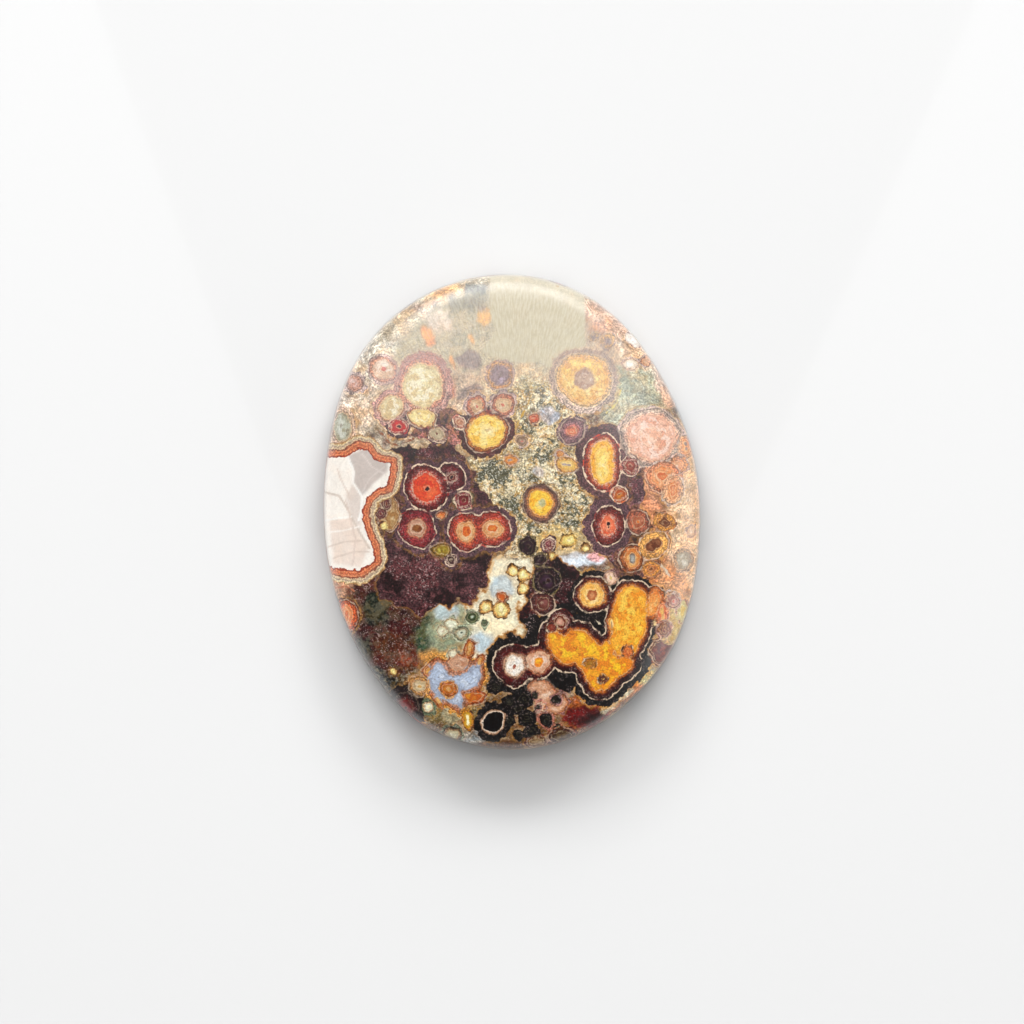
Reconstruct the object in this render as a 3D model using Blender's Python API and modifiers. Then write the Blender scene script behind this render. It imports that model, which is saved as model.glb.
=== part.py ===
"""Oval agate cabochon lying on its flat back: one solid piece of polished stone.

Metres, +Z up. The origin is the middle of the flat back. The long axis of the oval is Y,
the short one X, and the dome faces up.
"""

import math

import bpy
import numpy as np

mm = 0.001

# The oval, seen from above
half_length = 19.94 * mm
half_width = 15.82 * mm

# Where the hand-ground outline leaves a true ellipse: the direction of each shoulder from the
# centre in degrees, its reach in degrees, and how far it stands out (+) or in (-)
shoulders = {
    "upper_left": (130.0, 20.0, 0.88 * mm),
    "lower_right": (321.0, 17.0, 0.45 * mm),
    "upper_right_flat": (42.0, 15.0, -0.31 * mm),
    "lower_left": (245.0, 8.0, 0.27 * mm),
}

# The section, from the back up
thickness = 6.2 * mm
back_bevel_width = 0.45 * mm
back_bevel_height = 0.35 * mm
wall_height = 2.1 * mm
wall_taper = 0.15 * mm

# The dome's height falls from the middle to the wall as (1 - s ** fullness) ** roundness
dome_fullness = 2.3
dome_roundness = 0.62

# Mesh fineness
turns = 112
dome_rings = 22
wall_rings = 3
outline_samples = 3600
crease_angle = math.radians(25.0)

stone_colour = (0.36, 0.17, 0.08, 1.0)
stone_roughness = 0.28
stone_metallic = 0.0


def clear_scene():
    for item in list(bpy.data.objects):
        bpy.data.objects.remove(item, do_unlink=True)


def make_collection(name):
    collection = bpy.data.collections.new(name)
    bpy.context.scene.collection.children.link(collection)
    return collection


def stone_material():
    material = bpy.data.materials.new("lace_agate")
    material.use_nodes = True
    shader = material.node_tree.nodes["Principled BSDF"]
    shader.inputs["Base Color"].default_value = stone_colour
    shader.inputs["Roughness"].default_value = stone_roughness
    shader.inputs["Metallic"].default_value = stone_metallic
    material.diffuse_color = stone_colour
    return material


def outline_radius(angle):
    """Distance from the centre to the edge in a direction: an ellipse plus its shoulders."""
    radius = half_width * half_length / np.hypot(
        half_length * np.cos(angle), half_width * np.sin(angle)
    )
    for direction, reach, height in shoulders.values():
        turned = np.degrees(angle) - direction
        apart = (turned + 180.0) % 360.0 - 180.0
        radius = radius + height * np.exp(-0.5 * (apart / reach) ** 2)
    return radius


def outline_middle():
    """Middle of the outline's box, so that the finished stone is centred on the origin."""
    angle = np.linspace(0.0, 2.0 * math.pi, outline_samples, endpoint=False)
    radius = outline_radius(angle)
    x = radius * np.cos(angle)
    y = radius * np.sin(angle)
    return (x.min() + x.max()) / 2.0, (y.min() + y.max()) / 2.0


def section_points():
    """The section's outer side from the top of the dome to the middle of the back."""
    wall_top = half_width - wall_taper
    rise = thickness - wall_height
    points = []
    for ring in range(dome_rings + 1):
        s = math.sin(0.5 * math.pi * ring / dome_rings)
        height = max(0.0, 1.0 - s**dome_fullness) ** dome_roundness
        points.append((s * wall_top, wall_height + rise * height))
    for ring in range(1, wall_rings + 1):
        down = ring / wall_rings
        x = wall_top + wall_taper * down
        z = wall_height + (back_bevel_height - wall_height) * down
        points.append((x, z))
    points.append((half_width - back_bevel_width, 0.0))
    points.append((0.0, 0.0))
    return points


def turned_blank():
    """The section turned once about Z: a round stone, half_width in radius."""
    points = section_points()
    profile = bpy.data.meshes.new("section")
    verts = [(x, 0.0, z) for x, z in points]
    edges = [(i, i + 1) for i in range(len(points) - 1)]
    profile.from_pydata(verts, edges, [])
    blank = bpy.data.objects.new("blank", profile)
    bpy.context.scene.collection.objects.link(blank)
    screw = blank.modifiers.new("turn", "SCREW")
    screw.axis = "Z"
    screw.angle = 2.0 * math.pi
    screw.steps = turns
    screw.render_steps = turns
    screw.use_merge_vertices = True
    screw.merge_threshold = 0.00001
    return blank


def make_stone(collection):
    """The blank, with each point moved straight out or in so that its edge follows the outline."""
    blank = turned_blank()
    graph = bpy.context.evaluated_depsgraph_get()
    mesh = bpy.data.meshes.new_from_object(blank.evaluated_get(graph))
    mesh.name = "agate_cabochon"
    bpy.data.objects.remove(blank, do_unlink=True)

    places = np.empty(len(mesh.vertices) * 3)
    mesh.vertices.foreach_get("co", places)
    places = places.reshape(-1, 3)
    angle = np.arctan2(places[:, 1], places[:, 0])
    stretch = outline_radius(angle) / half_width
    middle_x, middle_y = outline_middle()
    share = np.hypot(places[:, 0], places[:, 1]) / half_width
    places[:, 0] = places[:, 0] * stretch - middle_x * share
    places[:, 1] = places[:, 1] * stretch - middle_y * share
    mesh.vertices.foreach_set("co", places.ravel())
    mesh.update()
    mesh.shade_smooth()
    mesh.set_sharp_from_angle(angle=crease_angle)

    stone = bpy.data.objects.new("agate_cabochon", mesh)
    mesh.materials.clear()
    mesh.materials.append(stone_material())
    collection.objects.link(stone)
    return stone


clear_scene()
make_stone(make_collection("agate_cabochon_parts"))
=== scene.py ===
import math

import bpy
import numpy as np
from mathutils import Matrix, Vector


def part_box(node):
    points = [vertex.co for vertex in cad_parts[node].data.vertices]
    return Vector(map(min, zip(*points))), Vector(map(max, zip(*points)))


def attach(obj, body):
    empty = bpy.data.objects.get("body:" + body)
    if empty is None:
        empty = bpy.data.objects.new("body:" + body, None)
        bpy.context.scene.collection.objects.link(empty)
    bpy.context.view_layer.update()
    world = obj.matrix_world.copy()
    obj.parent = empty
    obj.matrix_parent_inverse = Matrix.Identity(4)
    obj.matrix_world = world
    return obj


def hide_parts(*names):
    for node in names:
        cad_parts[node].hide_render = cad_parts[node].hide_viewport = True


# An oval cabochon of orbicular lace agate, lying on its flat back and seen from straight above.

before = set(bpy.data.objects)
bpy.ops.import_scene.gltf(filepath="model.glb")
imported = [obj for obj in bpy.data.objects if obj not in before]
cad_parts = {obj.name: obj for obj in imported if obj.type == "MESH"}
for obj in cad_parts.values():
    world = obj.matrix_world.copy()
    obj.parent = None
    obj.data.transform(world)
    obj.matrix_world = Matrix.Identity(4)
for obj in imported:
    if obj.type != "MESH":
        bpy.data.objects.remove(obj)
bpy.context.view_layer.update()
stoneNode = "agate_cabochon"
stoneLow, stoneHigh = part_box(stoneNode)
mm = 0.001
print("frame loaded:", stoneNode)


# The stone's shape

stoneShape = {
    "halfWidth": 15.82,  # mm, of the ellipse under the shoulders
    "halfLength": 19.94,
    # direction in degrees, reach in degrees, how far it stands out in mm
    "shoulders": [(130, 20, 0.88), (321, 17, 0.45), (42, 15, -0.31), (245, 8, 0.27)],
    "wallHeight": 2.1,
    "wallTaper": 0.15,
    "domeFullness": 2.3,
    "domeRoundness": 0.62,
    "frontCells": 264,  # cells along each side of the square that is bent into the dome
    "outlineSteps": 3600,  # steps round the outline when its box is measured
    # the side, from the dome's edge down to the back: share of the half width, height in mm
    "side": [(0.9935, 1.6), (0.9960, 1.1), (0.9985, 0.65), (0.9995, 0.40),
             (0.9962, 0.26), (0.9800, 0.05), (0.9716, 0.0)],
    "backSeam": 0.004,  # width of the ring that joins the side to the back, share of the half width
}


def outlineAt(angle):
    # an ellipse's radius, plus a bell curve for each shoulder, in mm
    wide, long = stoneShape["halfWidth"], stoneShape["halfLength"]
    radius = wide * long / np.hypot(long * np.cos(angle), wide * np.sin(angle))
    for direction, reach, height in stoneShape["shoulders"]:
        apart = (np.degrees(angle) - direction + 180) % 360 - 180
        radius = radius + height * np.exp(-0.5 * (apart / reach) ** 2)
    return radius


def placeOnOval(share, angle):
    # the outline's point in that direction, drawn in by the share, then moved so that the
    # oval's box is the CAD box
    turn = np.linspace(0, 2 * math.pi, stoneShape["outlineSteps"], endpoint=False)
    edge = outlineAt(turn)
    placed = []
    for axis, wave in enumerate((np.cos, np.sin)):
        rim = edge * wave(turn)
        low, high = rim.min(), rim.max()
        fit = (stoneHigh[axis] - stoneLow[axis]) / mm / (high - low)
        middle = (stoneHigh[axis] + stoneLow[axis]) / 2 / mm
        placed.append((outlineAt(angle) * wave(angle) - (low + high) / 2) * share * fit + middle)
    return placed


def domeHeight(share):
    # wall height plus the rise times (1 - s ** fullness) ** roundness, s running from the middle out
    rise = (stoneHigh[2] - stoneLow[2]) / mm - stoneShape["wallHeight"]
    fall = np.clip(1 - share ** stoneShape["domeFullness"], 0, 1)
    return stoneShape["wallHeight"] + rise * fall ** stoneShape["domeRoundness"]


def bentSquare(cells):
    # A square grid bent into a disc: how far out a point lies is the larger of |a| and |b|, and
    # its direction turns evenly along each side of the square.
    line = np.linspace(-1, 1, cells + 1)
    a, b = np.meshgrid(line, line)
    sideways = np.abs(a) >= np.abs(b)
    big = np.where(sideways, a, b)
    small = np.where(sideways, b, a)
    ratio = small / np.where(big == 0, 1, big)
    turn = np.where(sideways, math.pi / 4 * ratio, math.pi / 2 - math.pi / 4 * ratio)
    angle = np.where(big < 0, turn + math.pi, turn)
    return np.abs(big), angle


def gridQuads(cells, first):
    # corner numbers of every cell of a square grid, counter-clockwise seen from above
    number = np.arange((cells + 1) ** 2).reshape(cells + 1, cells + 1) + first
    corners = [number[:-1, :-1], number[:-1, 1:], number[1:, 1:], number[1:, :-1]]
    return np.stack(corners, -1).reshape(-1, 4)


def gridRim(cells, first):
    # the numbers round the grid's edge, counter-clockwise from its first corner
    number = np.arange((cells + 1) ** 2).reshape(cells + 1, cells + 1) + first
    return np.concatenate([number[0, :-1], number[:-1, -1], number[-1, :0:-1], number[:0:-1, 0]])


def stoneSurface():
    # Dome, side and back as one closed skin. The dome and back are bent squares, the back's half
    # as fine. The side is rings of the dome's rim points, carried down the section.
    # Returns points in mm, quads, triangles, and how far out of the middle each point lies.
    cells = stoneShape["frontCells"]
    share, angle = (part.ravel() for part in bentSquare(cells))
    taper = 1 - stoneShape["wallTaper"] / stoneShape["halfWidth"]
    x, y = placeOnOval(share * taper, angle)
    points = [np.stack([x, y, domeHeight(share)], -1)]
    shares = [share]
    faces = [gridQuads(cells, 0)]

    ring = gridRim(cells, 0)
    around = angle[ring]
    count = len(points[0])
    for reach, height in stoneShape["side"]:
        x, y = placeOnOval(np.full(len(around), reach), around)
        points.append(np.stack([x, y, np.full(len(around), height)], -1))
        shares.append(np.ones(len(around)))
        lower = np.arange(len(around)) + count
        faces.append(np.stack([lower, np.roll(lower, -1), np.roll(ring, -1), ring], -1))
        ring = lower
        count += len(around)

    backShare, backAngle = (part.ravel() for part in bentSquare(cells // 2))
    innermost = stoneShape["side"][-1][0] - stoneShape["backSeam"]
    x, y = placeOnOval(backShare * innermost, backAngle)
    points.append(np.stack([x, y, np.zeros(len(x))], -1))
    shares.append(backShare)
    faces.append(gridQuads(cells // 2, count)[:, ::-1])
    rim = gridRim(cells // 2, count)
    even, odd = ring[::2], ring[1::2]
    nextEven, nextRim = np.roll(even, -1), np.roll(rim, -1)
    fan = [np.stack([even, rim, odd], -1), np.stack([odd, rim, nextRim], -1),
           np.stack([odd, nextRim, nextEven], -1)]
    triangles = np.concatenate(fan)
    return np.concatenate(points), np.concatenate(faces), triangles, np.concatenate(shares)


points, quads, triangles, shares = stoneSurface()
print("stone surface:", len(points), "points,", 2 * len(quads) + len(triangles), "triangles")


def stoneMesh():
    # the faces' corners one after the other, and where each face starts, all shaded smooth
    mesh = bpy.data.meshes.new("agateStone")
    corners = np.concatenate([quads.ravel(), triangles.ravel()]).astype(np.int32)
    sizes = np.concatenate([np.full(len(quads), 4), np.full(len(triangles), 3)])
    mesh.vertices.add(len(points))
    mesh.vertices.foreach_set("co", (points * mm).ravel())
    mesh.loops.add(len(corners))
    mesh.loops.foreach_set("vertex_index", corners)
    mesh.polygons.add(len(sizes))
    starts = np.concatenate([[0], np.cumsum(sizes)[:-1]])
    mesh.polygons.foreach_set("loop_start", starts.astype(np.int32))
    mesh.update(calc_edges=True)
    mesh.validate()
    mesh.shade_smooth()
    return mesh


stone = bpy.data.objects.new("agateStone", stoneMesh())
bpy.context.scene.collection.objects.link(stone)
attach(stone, "root")
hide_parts(stoneNode)


# The markings: rings round rings, as the stone grew. Places are in map units, u to the right and
# v down. The oval is 477 units long, and its middle is at 512, 511.6.

markings = {
    "unitsLong": 477,
    "middle": (512, 511.6),
    "seenFrom": 0.5,  # m above the wall: what lies nearer looks larger from there
    "farAway": 40.0,  # the distance that stands for nothing near
    "seed": 11,
    "waver": [(46, 1.6), (17, 0.8), (7, 0.5)],  # size of the ripple, how far it moves things
    "deepWaver": 0.22,  # more of it for every unit down the side
    "ragged": [(34, 8.0), (15, 5.0), (8, 3.0), (3.5, 1.0)],  # the same for the edges of dark ground
    "darkDown": 9,  # how far dark ground reaches down the side
    "strokesDown": 4,
    "lumps": 0.03,  # how far from round an orb is
    "lineGap": 1.5,  # width of the pale line where two orbs meet
    "sideOrbs": 46,
    "backOrbs": 120,
}

# What the polish adds in the picture, as light from 0 to 1, and a bottom share that is painted shade.
# All of it is taken off again, so that the colours below are as seen; the bottom share makes them darker
# towards the bottom.
haze = {
    "base": 0.005,  # everywhere
    "top": 0.215, "topEdge": 388, "topSoftness": 15,  # even, above a soft edge
    "long": 0.11, "longFrom": 310, "longReach": 120,  # fading away downwards
    "right": 0.17, "rightPlace": 0.96, "rightReach": 0.075,  # along the right rim
    # painted shade: the bottom share only darkens the colours towards the bottom
    "bottom": 0.035, "bottomFrom": 560, "bottomTo": 660,
    "bareFrom": 0.955, "bareTurn": 0.31,  # where the top rim turns away from the softboxes
    "taken": 0.5,  # the share that every colour loses
    "paleFrom": 0.12, "paleTo": 0.42, "paleTaken": 1.0,  # a pale colour loses this much more
    "leastLeft": 0.004,
    # the light on the stone: in the middle, its change with v, and its fall towards the rim
    "lampMiddle": 1.27, "lampSlope": -0.00082, "sideFall": 0.15, "bottomFall": 0.22,
}

# Each kind's four colours from the middle out; how far the halo reaches past the body in map
# units; the core's share of the body and the pupil's of the core; and how strong the pale line is
orbKinds = {
    "amber": {"pupil": (255, 236, 170), "core": (250, 212, 105), "ring": (140, 62, 38), "halo": (96, 68, 68),
              "reach": 6, "share": 0.78, "inner": 0.25, "line": 0.5},
    "cherry": {"pupil": (60, 44, 48), "core": (226, 86, 48), "ring": (104, 30, 32), "halo": (90, 64, 68),
               "reach": 6, "share": 0.62, "inner": 0.15, "line": 0.9},
    "redEye": {"pupil": (148, 92, 48), "core": (206, 160, 134), "ring": (118, 44, 48), "halo": (90, 64, 68),
               "reach": 6, "share": 0.44, "inner": 0.5, "line": 0.8},
    "ball": {"pupil": (130, 60, 40), "core": (150, 70, 55), "ring": (120, 45, 45), "halo": (90, 64, 68),
             "reach": 3, "share": 0.6, "inner": 0.2, "line": 0.9},
    "yellowEye": {"pupil": (206, 206, 160), "core": (252, 200, 64), "ring": (120, 84, 72),
                  "halo": (90, 70, 60), "reach": 2, "share": 0.64, "inner": 0.34, "line": 0.3},
    "dot": {"pupil": (255, 250, 205), "core": (250, 238, 165), "ring": (176, 120, 30), "halo": (90, 60, 30),
            "reach": 0.8, "share": 0.66, "inner": 0.3, "line": 0.0},
    "pinkRing": {"pupil": (215, 130, 110), "core": (235, 212, 190), "ring": (196, 138, 124),
                 "halo": (172, 150, 145), "reach": 3, "share": 0.7, "inner": 0.24, "line": 0.4},
    "cream": {"pupil": (228, 205, 130), "core": (240, 228, 190), "ring": (204, 136, 112),
              "halo": (150, 105, 100), "reach": 2, "share": 0.8, "inner": 0.3, "line": 0.3},
    "gold": {"pupil": (180, 165, 160), "core": (182, 165, 162), "ring": (232, 170, 92),
             "halo": (170, 150, 145), "reach": 5, "share": 0.45, "inner": 0.1, "line": 0.3},
    "orangeRing": {"pupil": (120, 70, 45), "core": (130, 78, 48), "ring": (236, 166, 80),
                   "halo": (140, 85, 55), "reach": 2, "share": 0.5, "inner": 0.25, "line": 0.2},
    "brown": {"pupil": (220, 130, 60), "core": (190, 120, 75), "ring": (140, 82, 52), "halo": (96, 58, 48),
              "reach": 2.5, "share": 0.5, "inner": 0.2, "line": 0.5},
    "dark": {"pupil": (70, 40, 36), "core": (60, 40, 46), "ring": (44, 30, 36), "halo": (110, 95, 60),
             "reach": 1.5, "share": 0.6, "inner": 0.2, "line": 0.1},
    "black": {"pupil": (30, 18, 16), "core": (28, 16, 14), "ring": (24, 16, 14), "halo": (30, 20, 20),
              "reach": 1.5, "share": 0.5, "inner": 0.2, "line": 0.0},
    "green": {"pupil": (200, 215, 200), "core": (96, 116, 92), "ring": (120, 136, 108),
              "halo": (150, 158, 132), "reach": 1.5, "share": 0.5, "inner": 0.3, "line": 0.2},
    "moss": {"pupil": (40, 62, 52), "core": (44, 70, 58), "ring": (62, 82, 66), "halo": (90, 84, 66),
             "reach": 1.5, "share": 0.7, "inner": 0.3, "line": 0.0},
    "ochre": {"pupil": (226, 182, 108), "core": (196, 124, 52), "ring": (160, 80, 30), "halo": (120, 74, 42),
              "reach": 1.2, "share": 0.6, "inner": 0.25, "line": 0.35},
}


def orb(kind, u, v, across, down=None, tilt=0, **changes):
    # one orb of a kind: its middle, its two radii, how far it is turned, and what differs
    return {**orbKinds[kind], "oval": (u, v, across, down or across, tilt), **changes}


orbs = {
    "upperLeft": [
        orb("gold", 499.3, 373.7, 13.5, share=0.7, core=(178, 158, 158), ring=(226, 170, 108), reach=2),
        orb("pinkRing", 384, 369, 13.5, share=0.75, inner=0.24, core=(240, 214, 190), ring=(216, 164, 150),
            halo=(196, 170, 160), line=0.1),
        orb("pinkRing", 354, 382, 9, core=(222, 182, 168), ring=(206, 176, 164), share=0.6, inner=0,
            line=0.1),
        orb("cream", 392, 408, 14, core=(232, 214, 172), ring=(206, 150, 132), halo=(182, 138, 128),
            reach=5, inner=0),
        orb("cream", 423, 385, 24, 27, share=0.8, inner=0, core=(240, 224, 182), ring=(206, 146, 130),
            halo=(186, 146, 136), reach=6, joins=True),
        orb("ball", 438, 434.5, 8, core=(196, 180, 150), ring=(92, 62, 60), share=0.7),
        orb("cherry", 399, 427, 10, 8, 15, core=(196, 56, 54), ring=(140, 40, 44), share=0.7, reach=4),
        orb("amber", 423, 418, 13.5, 10.5, ring=(150, 50, 45), core=(246, 226, 165), share=0.8, reach=4),
        orb("pinkRing", 476.4, 406, 10, ring=(186, 116, 98), core=(222, 186, 146), reach=3, share=0.6),
        orb("pinkRing", 502.9, 403, 11, ring=(186, 116, 98), core=(226, 196, 160), reach=3, share=0.6),
        orb("ball", 459.3, 422.3, 6, ring=(165, 100, 88), core=(205, 150, 120)),
        orb("amber", 486.4, 431, 22, 20.5, share=0.8, inner=0.35, halo=(84, 54, 52)),
        orb("pinkRing", 342, 426.6, 11, 16, share=0.74, inner=0, core=(190, 190, 170), ring=(235, 202, 172),
            halo=(190, 160, 140)),
    ],
    "upperRight": [
        orb("gold", 593.7, 336.6, 4.5, ring=(232, 190, 110), share=0.3, reach=1),
        orb("gold", 606.6, 341, 7, ring=(228, 180, 110), share=0.4, reach=1.5),
        orb("pinkRing", 629.4, 363.7, 8, 6, ring=(225, 195, 175), core=(245, 236, 220), inner=0, reach=1),
        orb("cream", 632, 340, 9, 6, 40, core=(254, 248, 240), ring=(250, 240, 228), share=0.9, inner=0,
            line=0, reach=0),
        orb("gold", 645, 361, 6, 5, core=(234, 186, 150), ring=(225, 190, 165), reach=1),
        orb("gold", 583.7, 379.4, 26.8, 25.7, share=0.86, reach=7, line=0.5, inner=0.42,
            core=(236, 192, 118), ring=(240, 212, 160), pupil=(204, 176, 156), halo=(190, 168, 154)),
        orb("pinkRing", 650.9, 436.6, 30, 29, share=0.76, core=(236, 186, 160), ring=(205, 180, 160),
            pupil=(240, 196, 170), inner=0.4, reach=2),
        orb("pinkRing", 572.3, 429.4, 12, core=(226, 140, 105), ring=(140, 104, 106), share=0.34,
            halo=(120, 96, 96)),
        orb("ochre", 533.7, 416.6, 5, core=(212, 96, 50), ring=(196, 130, 80)),
        orb("pinkRing", 523, 439.4, 5.5, ring=(196, 160, 110), core=(150, 120, 100), reach=1),
        orb("gold", 685, 447, 8, 12, core=(235, 165, 110), ring=(232, 190, 150), reach=1),
        orb("gold", 676.6, 465.7, 10, core=(236, 176, 130), ring=(228, 160, 105), reach=1.5),
    ],
    "left": [
        orb("brown", 388, 512, 12, 17, ring=(160, 122, 78), core=(184, 146, 96), share=0.86, inner=0,
            reach=3),
        orb("ball", 387, 503, 5, 6, core=(116, 60, 66), ring=(88, 52, 54), line=0.6),
        orb("ball", 381, 513, 5.4, core=(116, 60, 66), ring=(92, 54, 54), line=0.6),
        orb("dot", 383.6, 525, 4, ring=(120, 90, 60)),
        orb("cherry", 451.4, 477, 13, 14, share=0.25, core=(120, 45, 50), ring=(92, 36, 44), line=1.0),
        orb("cherry", 427.1, 487.9, 21, 21.5, share=0.62, inner=0.14, line=1.0),
        orb("ball", 463, 500, 8.5, core=(134, 44, 52), ring=(120, 38, 48), halo=(110, 96, 70)),
        orb("redEye", 417.1, 527.9, 18.5, 17.8),
        orb("redEye", 465.7, 531.4, 17.5, 18.5, also=[(491.4, 528.6, 18, 16.5, 0)], share=0.5, inner=0.45,
            ring=(150, 58, 46), core=(226, 172, 116), pupil=(222, 118, 46)),
        orb("ochre", 441, 515, 5, 3.5, core=(236, 142, 50), ring=(150, 70, 40)),
        orb("ochre", 440, 550, 10, 7, ring=(120, 100, 46), core=(172, 150, 56), inner=0),
        orb("ball", 450, 560, 5.5, core=(90, 60, 60), ring=(120, 84, 70)),
    ],
    "middle": [
        orb("gold", 512, 458.6, 6.5, 5, core=(226, 150, 70), ring=(196, 150, 90), reach=0.8, share=0.7),
        orb("gold", 560, 452, 4, core=(226, 150, 70), ring=(196, 150, 90), reach=0.8, share=0.6),
        orb("gold", 567, 463, 12, 8, 10, core=(236, 194, 104), ring=(205, 160, 84), share=0.7, reach=1),
        orb("yellowEye", 541, 503, 18),
        orb("dot", 568.7, 540, 8, 7, ring=(196, 170, 60), core=(246, 232, 150)),
        orb("dot", 585, 548.6, 4),
        orb("dot", 553, 555, 4.2),
        orb("dark", 526.6, 544.3, 9.2),
        orb("ball", 549.4, 543, 5.8, core=(136, 62, 72), ring=(96, 50, 56)),
        orb("dark", 539.4, 558.6, 6),
        orb("dark", 547, 580, 14, 13),
        orb("brown", 543, 602, 11, core=(120, 70, 60), ring=(84, 50, 48)),
    ],
    "right": [
        orb("pinkRing", 663, 476, 17, 15, 30, core=(232, 162, 108), ring=(206, 140, 104), share=0.66,
            inner=0.4, pupil=(216, 120, 70), halo=(176, 120, 92)),
        orb("amber", 602.6, 455, 17.5, 21.5, also=[(603, 468, 17.5, 21.5, 0)], share=0.62, inner=0.5,
            ring=(150, 60, 46), core=(250, 196, 84), pupil=(255, 226, 132), line=1.0, reach=9),
        orb("ball", 630, 464.3, 8.5, ring=(140, 70, 65)),
        orb("ball", 619.4, 493.6, 8, core=(194, 108, 40), ring=(170, 84, 40)),
        orb("cherry", 608, 525.7, 16.5, 19.5, share=0.42, inner=0.12, core=(236, 124, 84),
            ring=(104, 46, 42), reach=9),
        orb("brown", 638.7, 521.4, 11.5, ring=(166, 98, 74), core=(180, 108, 76), share=0.5),
        orb("orangeRing", 664.4, 520.7, 10, 8.5, share=0.45),
        orb("brown", 632.3, 558.6, 12, 14, core=(220, 150, 80), pupil=(150, 140, 130), share=0.64, inner=0.4,
            ring=(140, 80, 46)),
        orb("orangeRing", 652.3, 568.6, 8, core=(190, 120, 70)),
        orb("orangeRing", 653.7, 544.3, 15, 12, -35, share=0.42, inner=0, line=0.7, ring=(238, 176, 96)),
        orb("gold", 673, 489.5, 10, 14, core=(230, 160, 108), ring=(234, 190, 150), pupil=(220, 140, 96),
            inner=0.4, reach=1, line=0.5),
        orb("pinkRing", 690.6, 530, 4.5, 5.5, core=(240, 210, 182), ring=(226, 178, 150), inner=0, reach=1),
        orb("gold", 671, 600, 7, 9, core=(222, 156, 110), ring=(232, 190, 150), inner=0, reach=1),
        orb("pinkRing", 683, 558.6, 10, 12, core=(190, 178, 158), ring=(206, 180, 152), halo=(226, 184, 152),
            inner=0, reach=1, line=0),
        orb("cream", 611.6, 578.6, 6, core=(244, 214, 190), ring=(190, 130, 110)),
    ],
    "lowerLeft": [
        orb("brown", 346, 614.6, 10, 16, core=(226, 150, 100), ring=(196, 92, 54), share=0.45, line=0.4),
        orb("dot", 393.6, 671, 3.4, ring=(120, 110, 80)),
        orb("green", 451, 624.6, 7.5, share=0.72, core=(236, 240, 214), pupil=(250, 250, 230)),
        orb("green", 443.6, 630, 5.6, share=0.7, core=(232, 236, 210), pupil=(250, 250, 230)),
        orb("green", 453, 651.7, 5, share=0.7, core=(240, 240, 216), pupil=(250, 250, 230)),
        orb("green", 472, 616, 6.4, core=(74, 92, 58), ring=(140, 150, 110), share=0.6),
        orb("green", 484, 622, 3.6),
        orb("green", 461.4, 631.7, 7.6, core=(206, 212, 190), ring=(128, 146, 120), pupil=(90, 104, 86)),
        orb("dot", 427, 705.3, 6, ring=(130, 130, 100), core=(240, 240, 215), halo=(96, 104, 84), reach=4),
        orb("dot", 512, 570, 6.4),
        orb("dot", 523, 574, 6.8),
        orb("dot", 523, 588, 5.8),
        orb("dot", 501.4, 609.6, 8.5, share=0.72),
        orb("dot", 485.7, 606.7, 6.4),
        orb("ochre", 502, 597.4, 5.4, 4.4, core=(216, 122, 32), inner=0),
        orb("ochre", 455, 680, 27, 24, share=0.8, inner=0, core=(184, 196, 216), ring=(182, 100, 40),
            halo=(186, 130, 62), reach=3, line=0.1, width=5.2,
            corners=[(430, 674), (434, 664), (438, 661), (444, 664), (448, 668), (450, 674), (460, 675),
                     (468, 670), (473, 664), (479, 666), (480, 674), (477, 684), (468, 688), (460, 690),
                     (463, 698), (462, 708), (454, 703), (442, 698), (434, 692), (428, 686)]),
        orb("ochre", 458.6, 661.7, 11, 10, core=(206, 160, 130), ring=(186, 108, 60), share=0.76, inner=0,
            joins=True),
        orb("ochre", 468.5, 648, 5.5, 9, 10, joins=True),
        orb("ochre", 479, 660, 5, 7, 20, joins=True),
        orb("ochre", 428, 669, 7, 4.5, -40, joins=True),
        orb("ochre", 449, 688, 8.5, 8, ring=(190, 110, 56)),
        orb("ochre", 428.6, 683, 4.5, 9, joins=True),
        orb("ochre", 438, 699, 4, 8, -30, joins=True),
        orb("ochre", 418.6, 684.6, 9.5, core=(206, 186, 150), ring=(190, 140, 80)),
        orb("ochre", 474, 695, 12, 7.5, 8, core=(204, 122, 44), inner=0, joins=True),
        orb("dot", 467, 718, 6, 11, -12, core=(206, 156, 54), ring=(176, 124, 50)),
        orb("green", 450.7, 734, 10.5, 8.5, core=(202, 194, 162), ring=(36, 48, 50), share=0.52, inner=0,
            line=0, reach=2, halo=(120, 124, 104)),
        orb("cherry", 404.3, 706, 13, core=(112, 36, 22), ring=(58, 28, 30), halo=(50, 28, 34), share=0.6,
            reach=8, line=0.1),
    ],
    "lowerRight": [
        orb("cream", 664, 652, 12, 14, 20, core=(128, 82, 50), ring=(150, 104, 66), share=0.84, inner=0,
            line=0.5, halo=(120, 84, 56)),
        orb("cream", 672, 622, 15, 21, core=(206, 178, 116), ring=(216, 200, 150), share=0.8, inner=0,
            line=0.6),
        orb("ochre", 663, 616, 6, 14, core=(226, 130, 84), ring=(214, 150, 100), reach=0.5),
        orb("ball", 665, 629, 6, 8, core=(146, 98, 52), ring=(160, 108, 56), reach=1, line=0.2),
        orb("cream", 681, 612, 6.5, 11, core=(218, 206, 156)),
        orb("pinkRing", 672.3, 602, 6, 7, core=(186, 142, 130), ring=(160, 116, 106)),
        orb("ball", 612, 624, 5, 9, core=(30, 24, 20), ring=(30, 24, 20), line=0.2),
        orb("amber", 593, 593.6, 17.8, share=0.66, inner=0.46, pupil=(186, 112, 66), core=(248, 200, 108),
            ring=(84, 34, 24), halo=(34, 20, 20), reach=6, line=0.78),
        orb("amber", 590, 655, 45, 25, share=0, inner=0, halo=(30, 19, 18), reach=8, line=0.78,
            ring=(70, 34, 20), core=(238, 162, 34), pupil=(250, 205, 100), width=8.5,
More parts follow.
